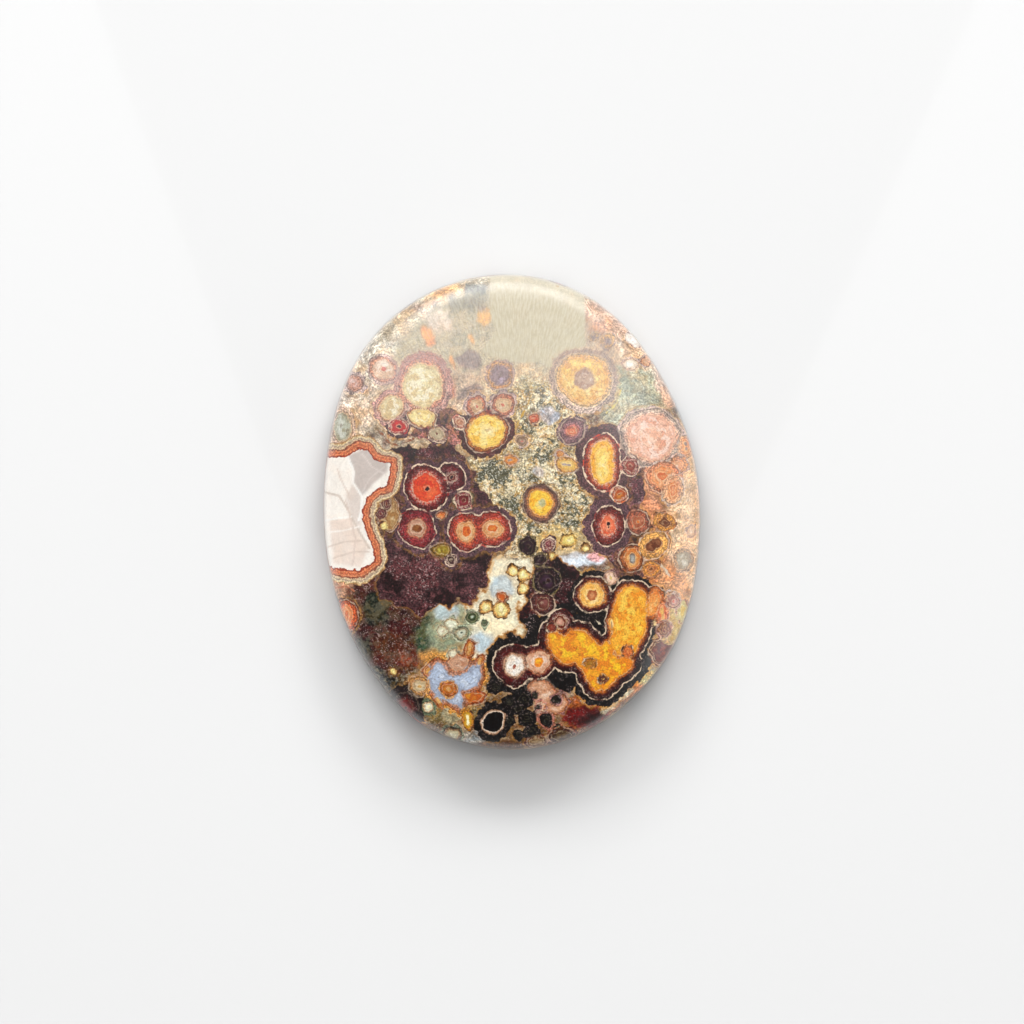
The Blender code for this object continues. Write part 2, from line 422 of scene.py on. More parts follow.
            corners=[(548, 630), (553, 628), (558, 633), (563.7, 636), (569.4, 630), (577, 629), (585, 631.7),
                     (591, 639), (599.4, 647.4), (606.6, 643), (613, 647.4), (613, 656), (616.6, 659),
                     (626, 657), (632.3, 661), (632.3, 666), (626.6, 671.7), (616.6, 677.4), (611, 684.6),
                     (604, 689.6), (596, 689), (591, 686), (585, 677.4), (582.3, 669), (575, 661.7),
                     (563.7, 663), (555, 656), (548, 647.4), (546, 639)]),
        orb("amber", 632, 603, 21, 22, also=[(630, 622, 24, 32, 0), (625, 642, 21, 20, 0)], share=0.72,
            inner=0, core=(242, 172, 58), ring=(92, 44, 24), halo=(30, 19, 18), reach=5, line=0.78,
            joins=True),
        orb("redEye", 513.7, 664.6, 20, 21, share=0.48, inner=0.16, core=(250, 242, 230),
            pupil=(180, 110, 84), ring=(80, 34, 26), halo=(30, 19, 18), reach=8, line=0.78, joins=True),
        orb("redEye", 537.8, 661.5, 17, share=0.62, inner=0.42, core=(228, 184, 154), pupil=(240, 156, 46),
            ring=(88, 36, 28), halo=(30, 19, 18), reach=8, line=0.78, joins=True),
        orb("redEye", 559.4, 621, 12, share=0.5, inner=0.5, core=(136, 64, 46), pupil=(226, 180, 160),
            ring=(78, 32, 26), halo=(30, 19, 18), reach=7, line=0.9, joins=True),
        orb("ball", 551, 626, 4.4, halo=(30, 18, 19), line=0.0, ring=(150, 70, 50), reach=0),
        orb("amber", 655, 604, 9, 17, 8, share=0.6, inner=0, core=(236, 158, 84), ring=(136, 80, 48),
            halo=(120, 80, 60), reach=2, line=0.5, joins=True),
        orb("ochre", 589.4, 663, 6, 4.6, core=(176, 124, 40), ring=(214, 146, 40), line=0, reach=0),
        orb("ochre", 602, 679, 4.6, 3.6, core=(96, 50, 26), ring=(176, 100, 34), line=0, reach=0),
        orb("ochre", 628, 652, 6, 5, core=(218, 122, 66), ring=(232, 156, 70), line=0, reach=0),
        orb("cream", 541, 692, 15, 11, 10, share=0.8, inner=0, core=(222, 178, 146), ring=(146, 86, 58),
            line=0.1, reach=1),
        orb("cream", 553, 703, 14, 13, share=0.8, inner=0, core=(212, 162, 128), ring=(140, 80, 56),
            line=0.1, reach=1, joins=True),
        orb("cream", 540, 706, 6, share=0.6, inner=0, core=(240, 206, 184), ring=(196, 120, 90), reach=0.5),
        *[orb("black", *oval) for oval in [(523.7, 698, 9), (517, 708, 6), (509.4, 701.7, 6),
                                           (526.6, 717.4, 8, 6.5), (509.4, 720, 6), (531, 731, 8, 7),
                                           (494.3, 686, 6.5)]],
        orb("black", 556, 699.6, 5, reach=2.5, halo=(196, 130, 110)),
        orb("black", 546, 719.6, 6.5, reach=2.5, halo=(150, 96, 80)),
        orb("black", 535, 694.6, 3.4),
        orb("black", 557.3, 727.4, 4.4, halo=(150, 100, 80)),
        orb("black", 538, 707, 3),
        orb("black", 519, 734, 4),
        orb("brown", 561, 735, 14, 8, ring=(75, 55, 40), core=(92, 70, 48), inner=0, line=0.3),
        orb("brown", 536, 740, 9, 5, ring=(110, 86, 60), core=(140, 112, 78), inner=0, line=0.3),
        orb("black", 493.6, 721, 13, 12.5, share=0.88, inner=0.9, core=(240, 224, 206), ring=(26, 16, 14),
            reach=7, line=0),
    ],
}


def patch(colour, oval=None, corners=None, soft=8, grains=0.0, dust=0.0, even=0.0):
    # A patch of ground under the orbs, as an oval or by its corners. soft is how far its edge
    # fades, grains how mossy it is, dust how speckled, and even how little the grain shows.
    return {"colour": colour, "oval": oval, "corners": corners, "soft": soft, "grains": grains,
            "dust": dust, "even": even}


# a later patch lies over the ones before it
patches = [
    patch((208, 198, 176), (430, 330, 190, 118, 0), soft=30, grains=0.3),
    patch((218, 196, 174), (420, 400, 130, 34, 0), soft=20, grains=0.2),
    patch((186, 124, 112), (450, 388, 5, 10, -20), soft=5),
    patch((234, 226, 212), (352, 352, 34, 40, 30), soft=14, grains=0.2),
    # painted sheen: this pale patch along the left rim is the stone's colour lightened by a wash of the
    # polish's reflection
    patch((246, 228, 210), (332, 404, 20, 46, 12), soft=12, grains=0.1),
    patch((236, 212, 180), (530, 392, 56, 24, 0), soft=12, grains=0.4),
    patch((204, 192, 170), (400, 320, 26, 12, -45), soft=10, grains=0.2),
    patch((240, 204, 156), (447, 291, 20, 9, -12), soft=9),
    patch((196, 176, 158), (428, 304, 16, 5, -20), soft=6),
    patch((244, 228, 210), (437, 321, 13, 12, 0), soft=9),
    patch((242, 172, 116), (427, 335, 6, 11, -35), soft=5),
    patch((238, 186, 120), (485, 315, 8, 9, 0), soft=5),
    patch((196, 172, 156), (481, 307, 5, 4, 0), soft=3),
    patch((236, 184, 130), (471, 339, 3, 5, -20), soft=3),
    patch((176, 160, 152), (468, 361, 13, 10, 0), soft=5),
    patch((228, 168, 116), (452, 364, 2, 8, -15), soft=2),
    patch((176, 158, 148), (470, 392, 14, 6, -25), soft=6),
    patch((222, 204, 182), (620, 350, 60, 60, 0), soft=22),
    patch((222, 186, 162), (607, 318, 24, 22, 20), soft=8),
    patch((184, 188, 168), (630, 396, 33, 32, 0), soft=8, grains=0.35),
    patch((216, 190, 172), (668, 387, 11, 22, -30), soft=5),
    patch((186, 172, 138), (532, 470, 62, 92, 0), soft=10, grains=1.0),
    patch((150, 150, 120), (570, 575, 14, 16, 0), soft=8, grains=0.9),
    patch((224, 196, 128), (562, 541, 30, 14, 0), soft=9, grains=0.45, even=0.3),
    patch((200, 144, 112), (664, 492, 28, 46, 0), soft=9, dust=0.1),
    patch((186, 124, 84), (650, 556, 26, 34, 0), soft=8),
    patch((238, 204, 172), (688, 515, 20, 95, 0), soft=9, grains=0.2),
    patch((208, 156, 116), (672, 588, 16, 26, 0), soft=8),
    patch((196, 150, 120), (348, 585, 22, 14, 0), soft=6),
    patch((70, 38, 38), (386, 630, 52, 60, 0), soft=14, grains=0.05, dust=0.6),
    patch((86, 54, 44), (398, 648, 24, 18, 0), soft=12, grains=0.05, dust=0.6),
    patch((112, 60, 34), (414, 662, 14, 10, 0), soft=10, grains=0.1, dust=0.3),
    patch((84, 66, 50), (412, 696, 36, 28, 0), soft=12, grains=0.2, dust=0.4),
    patch((26, 44, 38), (376, 608, 13, 16, 0), soft=8, grains=0.08),
    patch((56, 76, 60), (426, 632, 11, 22, 10), soft=10, grains=0.15),
    patch((30, 42, 34), (386, 684, 20, 12, 35), soft=8, grains=0.16),
    patch((40, 46, 36), (362, 652, 8, 16, -20), soft=9, grains=0.08),
    patch((240, 234, 206), corners=[(468, 566), (490, 560), (530, 556), (536, 575), (528, 600), (522, 640),
                                    (500, 664), (470, 660), (446, 660), (440, 636), (452, 606), (472, 600)],
          soft=5, grains=0.03, even=0.6),
    patch((148, 160, 132), (449, 630, 22, 28, 10), soft=10, grains=0.12, even=0.45),
    patch((196, 150, 86), (446, 657, 26, 10, 0), soft=8, even=0.1),
    patch((255, 246, 210), (494, 621, 17, 15, 0), soft=6, even=0.7),
    patch((196, 212, 218), (501, 588, 13, 11, 0), soft=5, even=0.6),
    patch((190, 206, 206), (446, 612, 12, 10, 0), soft=6, even=0.6),
    patch((196, 212, 218), (480, 641, 15, 11, 0), soft=6, even=0.6),
    patch((112, 100, 70), (452, 694, 34, 30, 0), soft=8, grains=0.3),
    patch((150, 118, 66), (480, 698, 14, 12, 0), soft=5, grains=0.3),
    patch((150, 155, 135), (453, 712, 10, 9, 0), soft=3),
    patch((150, 158, 160), (471, 738, 16, 8, 0), soft=4),
    patch((92, 64, 46), (530, 712, 52, 28, 0), soft=8, grains=0.15, dust=0.4),
    patch((176, 116, 76), corners=[(596, 708), (606, 694), (628, 682), (650, 672), (640, 692), (620, 706),
                                   (604, 716)], soft=3),
    patch((104, 48, 32), (584, 710, 26, 17, -10), soft=7, dust=0.3),
    patch((70, 32, 26), (592, 716, 14, 5, -25), soft=5),
    patch((216, 208, 184), (616, 701, 20, 4, -33), soft=3, grains=0.4),
    patch((150, 84, 50), (574, 702, 9, 7, 0), soft=5, dust=0.2),
    patch((200, 192, 140), (648, 677, 11, 8, -20), soft=3),
    patch((84, 62, 44), (535, 746, 66, 9, 0), soft=5, dust=0.3),
    patch((200, 205, 215), (548, 414, 13, 8, 0), soft=4),
    patch((205, 212, 218), (539, 471, 6, 6, 0), soft=3),
    patch((218, 226, 234), corners=[(551, 556), (575, 552), (614, 558), (600, 564), (575, 568), (552, 564)],
          soft=3, even=0.5),
    patch((240, 180, 180), (595, 558, 10, 4.5, 0), soft=2),
    patch((150, 150, 140), corners=[(466, 284), (487, 284), (487, 296), (466, 296)], soft=3),
    patch((184, 178, 162), corners=[(448, 296), (488, 296), (488, 310), (454, 311)], soft=9),
    patch((220, 210, 185), corners=[(488.6, 262), (488.6, 312), (496, 330), (484, 345), (480, 352),
                                    (508, 361), (540, 362), (551, 371), (562, 368), (569, 354),
                                    (584, 345), (584, 297), (578, 262)], soft=1.5, even=0.8),
    patch((250, 242, 228), corners=[(621, 336.5), (629, 331), (642, 344), (640, 346), (634, 348), (628, 343)],
          soft=1),
]

# Dark ground that runs on from the orbs' halos: colour and corners
darkGround = [
    ((76, 52, 54), [(391, 452), (420, 440), (450, 440), (468, 454), (474, 482), (496, 514), (498, 552),
                    (488, 562), (484, 584), (476, 580), (470, 602), (458, 596), (450, 606), (438, 598),
                    (420, 612), (400, 600), (380, 604), (372, 586), (376, 560), (384, 520), (392, 480)]),
    ((86, 60, 64), [(590, 425), (610, 420), (632, 430), (640, 450), (645, 470), (640, 500), (644, 530),
                    (636, 552), (650, 580), (612, 582), (608, 560), (600, 546), (596, 500)]),
    ((132, 94, 88), [(390, 434), (410, 430), (440, 412), (462, 410), (466, 430), (462, 446), (440, 446),
                     (414, 444), (396, 444)]),
    ((26, 15, 17), [(494, 652), (502, 643), (525, 638), (530, 612), (570, 612), (582, 600), (612, 590),
                    (640, 590), (660, 592), (650, 604), (655, 660), (640, 674), (600, 690), (560, 686),
                    (520, 688), (494, 684)]),
    ((58, 38, 40), [(528, 614), (528, 582), (538, 566), (556, 562), (572, 572), (582, 582), (610, 576),
                    (640, 582), (650, 590), (612, 592), (584, 602), (570, 614)]),
]

# Thin lines drawn over the ground: width, colour and the points they pass
strokes = [
    (1.6, (236, 200, 150), [(488, 575), (494, 560), (502, 553), (514, 556), (530, 552)]),
    (1.2, (205, 160, 70), [(512, 442), (516, 425), (524, 410), (530, 397)]),
    (1.2, (225, 205, 120), [(606, 411), (616, 402), (621, 388)]),
    (1.6, (220, 204, 182), [(658, 561), (665, 568), (671, 577)]),
    (1.6, (226, 210, 180), [(536.6, 639), (538, 628), (542.3, 620), (549, 613), (555, 609.6), (565, 610),
                            (571, 617), (582, 619), (595, 619), (601, 626), (608, 634.6), (610, 624.6),
                            (609.4, 606), (613, 598), (616.6, 593), (629.4, 583)]),
    (1.4, (190, 180, 160), [(644, 660), (656, 650), (668, 640)]),
    (1.2, (150, 90, 60), [(377, 429), (390, 442), (400, 446), (415, 441)]),
    (1.3, (170, 165, 150), [(560, 694), (590, 704), (610, 698), (640, 676), (656, 669)]),
    (1.3, (200, 150, 110), [(331, 580), (343, 577), (356, 582)]),
    (1.3, (180, 110, 80), [(333, 588), (345, 585), (354, 590)]),
]

# The quartz pocket at the left edge, and the facets inside it
pocket = {
    "corners": [(300, 462), (326, 456), (347, 454), (358, 447), (367, 448), (373, 456), (381, 461),
                (391, 463), (391, 474), (388, 486), (377, 489), (369, 497), (364, 509), (364, 520),
                (367, 534), (371, 544), (374, 557), (373.5, 560), (366, 566), (360, 571), (348.5, 570.7),
                (337, 568.6), (331, 567), (300, 560)],
    "down": 15,  # how far it reaches down the side
    "darkKeptOff": 6,  # how far from it dark ground stays
    "even": 0.9,
    "quartz": (252, 245, 235),
    "facets": [((196, 184, 178), [(347, 454), (354, 470), (353, 482), (363, 496), (374, 484), (388, 470),
                                  (388, 460), (366, 446)]),
               ((226, 212, 202), [(353, 482), (363, 496), (362, 530), (352, 520), (346, 496)]),
               ((238, 220, 206), [(330, 520), (352, 516), (368, 548), (360, 568), (334, 564)])],
    "streaks": [(0.9, (255, 252, 246), [(347, 454), (354, 470), (353, 482), (363, 496), (360, 520)]),
                (0.8, (214, 198, 184), [(326, 492), (340, 496), (352, 516), (368, 548)]),
                (0.8, (255, 252, 246), [(328, 520), (352, 516)]),
                (0.3, (226, 216, 210), [(362, 452), (372, 466), (386, 474)]),
                (0.3, (220, 210, 204), [(384, 466), (370, 478), (364, 490)]),
                (0.5, (228, 212, 200), [(338, 468), (344, 484), (352, 500)]),
                (0.6, (222, 204, 190), [(330, 546), (346, 542), (362, 541)]),
                (0.6, (224, 206, 192), [(335, 558), (350, 553), (368, 552)]),
                (0.6, (252, 244, 236), [(332, 532), (348, 530), (364, 526)]),
                (0.6, (226, 208, 196), [(346, 500), (352, 520), (356, 540), (352, 566)])],
}


def softNoise(x, y, cell, seed):
    # random heights at the corners of square cells, eased from corner to corner, from -1 to 1
    heights = np.random.default_rng(seed).uniform(-1, 1, (128, 128))
    across, down = np.floor(x / cell), np.floor(y / cell)
    s, t = x / cell - across, y / cell - down
    s, t = s * s * (3 - 2 * s), t * t * (3 - 2 * t)
    i, j = across.astype(int) % 128, down.astype(int) % 128
    top = heights[i, j] * (1 - s) + heights[(i + 1) % 128, j] * s
    bottom = heights[i, (j + 1) % 128] * (1 - s) + heights[(i + 1) % 128, (j + 1) % 128] * s
    return top * (1 - t) + bottom * t


def mapPlaces():
    # The map place of each point as the camera sees it, and how far it lies under the dome's edge.
    # Ripples of three sizes move the places a little, and more so down the side.
    unit = (stoneHigh[1] - stoneLow[1]) / mm / markings["unitsLong"]
    nearer = 1 + (points[:, 2] - stoneShape["wallHeight"]) * mm / markings["seenFrom"]
    u = markings["middle"][0] + points[:, 0] / unit * nearer
    v = markings["middle"][1] - points[:, 1] / unit * nearer
    depth = np.maximum(stoneShape["wallHeight"] - points[:, 2], 0) / unit
    straight = np.stack([u, v])
    grown = 1 + markings["deepWaver"] * depth
    for number, (cell, reach) in enumerate(markings["waver"]):
        shiftU = softNoise(straight[0] + depth, straight[1] - depth, cell, markings["seed"] + number)
        shiftV = softNoise(straight[0] - depth, straight[1] + depth, cell, markings["seed"] + number + 50)
        u = u + reach * grown * shiftU
        v = v + reach * grown * shiftV
    return u, v, depth, straight


def ovalGap(place, oval, deep=0, lumps=0.0, seed=0):
    # distance from an egg shape's surface, below zero inside: k (k - 1) / |gradient| of the
    # stretched radius k, made uneven by three waves round it
    (u, v, depth), (midU, midV, across, down, tilt) = place, oval
    du, dv, turn = u - midU, v - midV, math.radians(tilt)
    a = (du * math.cos(turn) + dv * math.sin(turn)) / across
    b = (dv * math.cos(turn) - du * math.sin(turn)) / down
    high = max(4.0, 0.8 * min(across, down))
    c = (depth - deep) / high
    radius = np.sqrt(a * a + b * b + c * c) + 1e-6
    slope = np.sqrt((a / across) ** 2 + (b / down) ** 2 + (c / high) ** 2) + 1e-6
    if lumps:
        phase = np.random.default_rng(seed).uniform(0, 2 * math.pi, 3)
        around = np.arctan2(b, a)
        waves = (np.sin(2 * around + phase[0]) + 0.8 * np.sin(3 * around + phase[1])
                 + 0.6 * np.sin(5 * around + phase[2]))
        bent = radius * (1 - lumps * waves * np.minimum(radius, 1))
        return radius * (bent - 1) / slope
    return radius * (radius - 1) / slope


def softMin(first, second, softness):
    # the smaller of two distances, rounded off where they are nearly the same
    apart = np.clip(0.5 + 0.25 * (second - first) / softness, 0, 1)
    return second + (first - second) * apart - 2 * softness * apart * (1 - apart)


def lineDistance(place, path):
    # the smallest distance to any of the path's straight stretches
    u, v = place[0], place[1]
    least = np.full(len(u), 1e3)
    for (u0, v0), (u1, v1) in zip(path[:-1], path[1:]):
        alongU, alongV = u1 - u0, v1 - v0
        share = np.clip(((u - u0) * alongU + (v - v0) * alongV) / (alongU ** 2 + alongV ** 2), 0, 1)
        least = np.minimum(least, np.hypot(u - u0 - share * alongU, v - v0 - share * alongV))
    return least


def patchGap(place, corners):
    # distance from a many-sided patch's edge, below zero where a ray to the right crosses it an
    # odd number of times
    u, v = place[0], place[1]
    inside = np.zeros(len(u), bool)
    for (u0, v0), (u1, v1) in zip(corners, corners[1:] + corners[:1]):
        crosses = (v0 > v) != (v1 > v)
        inside ^= crosses & (u < (u1 - u0) * (v - v0) / ((v1 - v0) or 1e-9) + u0)
    gap = lineDistance(place, corners + corners[:1])
    return np.where(inside, -gap, gap)


def linear(colour):
    # a screen colour from 0 to 255 as light
    share = np.array(colour, float) / 255
    return np.where(share <= 0.04045, share / 12.92, ((share + 0.055) / 1.055) ** 2.4)


def smoothStep(value, low, high):
    # from 0 at low to 1 at high: three times the share's square less twice its cube
    share = np.clip((value - low) / (high - low), 0, 1)
    return share * share * (3 - 2 * share)


def strayOrbs():
    # orbs for the side and the back, scattered at random and of random kinds
    draw = np.random.default_rng(markings["seed"] + 900)
    kinds = ["amber", "cherry", "redEye", "ball", "yellowEye", "brown", "orangeRing", "dark", "cream", "moss",
             "ochre", "dot"]
    made = []
    for number in range(markings["sideOrbs"]):
        angle = 2 * math.pi * (number + draw.uniform(-0.3, 0.3)) / markings["sideOrbs"]
        reach = outlineAt(np.array([angle]))[0] * markings["unitsLong"] / 40
        size = draw.uniform(5, 9)
        made.append(orb(kinds[draw.integers(len(kinds))], markings["middle"][0] + reach * math.cos(angle),
                        markings["middle"][1] - reach * math.sin(angle), size * draw.uniform(1, 1.5), size,
                        90 - math.degrees(angle), deep=draw.uniform(12, 19)))
    for number in range(markings["backOrbs"]):
        angle = number * 2.39996
        share = math.sqrt((number + 0.5) / markings["backOrbs"]) * 0.97
        reach = share * outlineAt(np.array([angle]))[0] * markings["unitsLong"] / 40
        size = draw.uniform(4, 19) if share < 0.9 else draw.uniform(4, 9)
        made.append(orb(kinds[draw.integers(len(kinds))],
                        markings["middle"][0] + reach * math.cos(angle) + draw.uniform(-7, 7),
                        markings["middle"][1] - reach * math.sin(angle) + draw.uniform(-7, 7),
                        size, size * draw.uniform(0.75, 1.25), draw.uniform(0, 180), deep=25))
    return made


def growOrbs(place):
    # For every point the distances to the nearest halo, body, core and pupil edges, and the
    # colours of whichever orb is nearest. A later orb cuts into the ones before it, and a pale
    # line's width is left between.
    count = len(place[0])
    far = np.full(count, markings["farAway"])
    gaps = {name: far for name in ("halo", "body", "core", "pupil")}
    colours = {name: np.tile(linear((120, 80, 60)), (count, 1)) for name in ("halo", "ring", "core", "pupil")}
    lines = np.zeros(count)
    everyOrb = [each for group in orbs.values() for each in group]
    for number, each in enumerate(strayOrbs() + everyOrb):
        deep = each.get("deep", 0)
        lumps = markings["lumps"]
        body = ovalGap(place, each["oval"], deep, lumps, number)
        if "corners" in each:
            flat = patchGap(place, each["corners"]) - each["width"]
            body = np.hypot(np.maximum(flat + 20, 0), place[2]) - 20
        for lobe in each.get("also", []):
            other = ovalGap(place, lobe, deep, lumps, number + 500)
            body = softMin(body, other, 2)
        small = min(each["oval"][2], each["oval"][3])
        core = body + each.get("width", (1 - each["share"]) * small)
        pupil = body + (1 - each["share"] * each["inner"]) * small if each["inner"] else far
        halo = body - each["reach"]
        joins = each.get("joins", False)
        apart = np.full(count, -60.0) if joins else markings["lineGap"] - body
        nearest = body < np.maximum(gaps["body"], apart)
        colours["halo"] = np.where((halo < gaps["halo"])[:, None], linear(each["halo"]), colours["halo"])
        for name in ("ring", "core", "pupil"):
            colours[name] = np.where(nearest[:, None], linear(each[name]), colours[name])
        lines = np.where(nearest, each["line"], lines)
        gaps["halo"] = np.minimum(gaps["halo"], halo)
        cut = np.minimum(body, np.maximum(gaps["body"], apart))
        gaps["body"] = softMin(body, gaps["body"], 1.5) if joins else cut
        gaps["core"] = np.minimum(core, np.maximum(gaps["core"], apart))
        gaps["pupil"] = np.minimum(pupil, np.maximum(gaps["pupil"], apart))
    return gaps, colours, lines


def spreadDark(place):
    # distance to the nearest dark ground, with noise of several sizes added so that its edge is
    # ragged, and that ground's colour; a little way down the side it ends
    gap = np.full(len(place[0]), markings["farAway"])
    shade = np.tile(linear((60, 40, 44)), (len(gap), 1))
    ragged = sum(reach * softNoise(place[0], place[1], cell, 400 + number)
                 for number, (cell, reach) in enumerate(markings["ragged"]))
    for colour, corners in darkGround:
        edge = patchGap(place, corners) + ragged + np.maximum(place[2] - markings["darkDown"], 0)
        shade = np.where((edge < gap)[:, None], linear(colour), shade)
        gap = np.minimum(gap, edge)
    return gap, shade


def layGround(place):
    # patches mixed one over the other, each with a faded, ragged edge
    count = len(place[0])
    ground = np.tile(linear((112, 84, 70)), (count, 1))
    grains = np.full(count, 0.3)
    dust = np.full(count, 0.3)
    even = np.zeros(count)
    ragged = softNoise(place[0], place[1], 9, 301) + 0.6 * softNoise(place[0], place[1], 4, 302)
    for each in patches:
        gap = ovalGap(place, each["oval"]) if each["oval"] else patchGap(place, each["corners"])
        soft = each["soft"]
        cover = smoothStep(gap + 0.5 * soft * ragged, soft / 2, -soft / 2)
        ground = ground + (linear(each["colour"]) - ground) * cover[:, None]
        grains = grains + (each["grains"] - grains) * cover
        dust = dust + (each["dust"] - dust) * cover
        even = even + (each["even"] - even) * cover
    return ground, grains, dust, even


def layPocket(place, ground):
    # the quartz with its facets, and the distance from its edge that the lace band follows
    u, v, depth = place
    gap = patchGap(place, pocket["corners"])
    gap = np.maximum(gap, depth - pocket["down"])
    quartz = np.tile(linear(pocket["quartz"]), (len(u), 1))
    for colour, corners in pocket["facets"]:
        cover = smoothStep(patchGap(place, corners), 1.5, -2.5)
        quartz = quartz + (linear(colour) - quartz) * cover[:, None] * 0.85
    for width, colour, path in pocket["streaks"]:
        cover = smoothStep(lineDistance(place, path), width + 0.8, width * 0.4)
        quartz = quartz + (linear(colour) - quartz) * cover[:, None]
    ground = np.where((gap < 0)[:, None], quartz, ground)
    return ground, gap


def drawStrokes(place):
    # distance to the nearest stroke, less half its width, and that stroke's colour
    distance = np.full(len(place[0]), markings["farAway"])
    colour = np.zeros((len(place[0]), 3))
    for width, shade, path in strokes:
        down = np.maximum(place[2] - markings["strokesDown"], 0)
        gap = lineDistance(place, path) - width / 2 + down
        colour = np.where((gap < distance)[:, None], linear(shade), colour)
        distance = np.minimum(distance, gap)
    return distance, colour


def hazeAndLamp(straight, angle):
    # the light that the polish adds, with the bottom share of painted shade, and the light that falls
    # on the stone, both smooth curves of the place seen from above
    v = straight[1]
    top = haze["top"] / (1 + np.exp((v - haze["topEdge"]) / haze["topSoftness"]))
    long = haze["long"] * np.exp(-np.maximum(v - haze["longFrom"], 0) / haze["longReach"])
    bareFrom = haze["bareFrom"] - haze["bareTurn"] * (1 - np.sin(angle))
    bare = smoothStep(shares, bareFrom - 0.03, bareFrom + 0.03) * np.clip(2 * np.sin(angle), 0, 1)
    top, long = top * (1 - bare), long * (1 - bare)
    rim = np.exp(-((shares - haze["rightPlace"]) / haze["rightReach"]) ** 2)
    right = haze["right"] * rim * np.clip(np.cos(angle + 0.1), 0, 1) ** 3
    lamp = haze["lampMiddle"] + haze["lampSlope"] * (v - markings["middle"][1])
    fall = shares ** 4 * (haze["sideFall"] - haze["bottomFall"] * np.sin(angle))
    # painted shade, darker towards the bottom
    bottom = haze["bottom"] * smoothStep(v, haze["bottomFrom"], haze["bottomTo"])
    return haze["taken"] * (haze["base"] + top + long + right + bottom), lamp * (1 - fall)


def paintStone(mesh):
    # every distance and colour as an attribute of the mesh, each colour less the haze over it
    u, v, depth, straight = mapPlaces()
    place = (u, v, depth)
    gaps, colours, lines = growOrbs(place)
    gaps["dark"], colours["dark"] = spreadDark(place)
    ground, grains, dust, even = layGround(place)
    colours["ground"], gaps["lace"] = layPocket(place, ground)
    gaps["dark"] = np.maximum(gaps["dark"], pocket["darkKeptOff"] - gaps["lace"])
    even = np.where(gaps["lace"] < 0, pocket["even"], even)
    gaps["stroke"], colours["stroke"] = drawStrokes(place)
    veil, lamp = hazeAndLamp(straight, np.arctan2(points[:, 1], points[:, 0]))
    fields = {"paleLine": lines, "grains": grains, "dust": dust, "even": even, "lampLevel": lamp,
              "polishHaze": veil, **{name + "Gap": gap for name, gap in gaps.items()}}
    for name, values in fields.items():
        mesh.attributes.new(name, "FLOAT", "POINT").data.foreach_set("value", values.astype(np.float32))
    for name, values in colours.items():
        paler = smoothStep(values.min(axis=1), haze["paleFrom"], haze["paleTo"])
        values = values - (veil * (1 + haze["paleTaken"] * paler))[:, None]
        values = np.maximum(values, haze["leastLeft"])
        full = np.concatenate([values, np.ones((len(values), 1))], 1).astype(np.float32)
        layer = mesh.attributes.new(name + "Colour", "FLOAT_COLOR", "POINT")
        layer.data.foreach_set("color", full.ravel())


paintStone(stone.data)
print("markings:", sum(len(group) for group in orbs.values()), "orbs and", len(patches), "patches")


# The stone's material: the distances and colours above, made uneven by fine grain

agate = {
    "fineGrain": 6800,  # grains per metre
    "midGrain": 2700,
    "mottle": 1100,
    "lumpGrain": 1500, "cloud": 560, "swirl": 430,
    "swirlLines": 48.0,  # how many map units of rings one step of the swirl holds
    "shake": 3.4,  # how far the grain moves an edge, map units
    "lineColour": (244, 214, 182),
    "lineWidth": 1.0,
    "outline": (206, 146, 66), "outlineDeep": (140, 84, 32),  # the golden fade outside a halo
    "ringBands": 2.3,  # spacing of the rings inside rings, map units
    "coreBands": 2.8,
    "groundBands": 3.6,
    "mossPale": (238, 224, 186), "mossDark": (60, 64, 44), "mossOlive": (190, 146, 58),
    "mossSpark": (250, 246, 228),
    "dustColour": (224, 192, 186),
    "fleckColour": (238, 204, 186),
    "coreEdge": (255, 236, 190),
    "hazeBlur": 3.2,  # map units that an edge fades over in the thickest haze
    "darkest": (0.007, 0.0045, 0.004),
    "polish": {"Roughness": 0.27, "IOR": 1.65, "Coat Weight": 1.0, "Coat Roughness": 0.33, "Coat IOR": 1.6},
    # the lace band round the quartz: distance from the pocket's edge, colour
    "laceFrom": -1.5, "laceTo": 14.0,
    "lace": [(-1.2, (250, 240, 228)), (-0.7, (150, 62, 40)), (0.6, (160, 62, 38)), (1.1, (226, 138, 92)),
             (3.0, (196, 98, 62)), (5.0, (222, 142, 96)), (5.8, (146, 76, 58)), (6.7, (140, 84, 66)),
             (7.0, (214, 184, 146)), (8.0, (206, 178, 142)), (8.6, (174, 150, 130)), (9.2, (176, 150, 128)),
             (9.9, (226, 206, 164)), (10.9, (216, 190, 146)), (11.6, (180, 136, 84)), (12.6, (156, 112, 72))],
}

material = bpy.data.materials.new("laceAgate")
material.use_nodes = True
tree = material.node_tree


def put(kind, inputs, output=0, **settings):
    # one node with its settings, and its inputs as values or as other nodes' outputs
    made = tree.nodes.new(kind)
    for name, value in settings.items():
        setattr(made, name, value)
    for socket, value in inputs.items():
        if isinstance(value, bpy.types.NodeSocket):
            tree.links.new(value, made.inputs[socket])
        else:
            made.inputs[socket].default_value = value
    return made.outputs[output]


def shade(colour):
    # a screen colour as light, with no see-through
    return (*linear(colour), 1)


def sum2(a, b):
    # a plus b
    return put("ShaderNodeMath", {0: a, 1: b}, operation="ADD")


def times(a, b):
    # a times b
    return put("ShaderNodeMath", {0: a, 1: b}, operation="MULTIPLY")


def step(value, low, high, first=0.0, last=1.0):
    # from first at low to last at high, eased at both ends
    return put("ShaderNodeMapRange", {0: value, 1: low, 2: high, 3: first, 4: last},
               interpolation_type="SMOOTHSTEP")


def cover(under, over, share):
    # under, plus the share of the way from it to over
    return put("ShaderNodeMix", {0: share, 6: under, 7: over}, 2, data_type="RGBA")


def brighten(colour, by):
    # the whole colour times one number
    return put("ShaderNodeVectorMath", {0: colour, 3: by}, operation="SCALE")


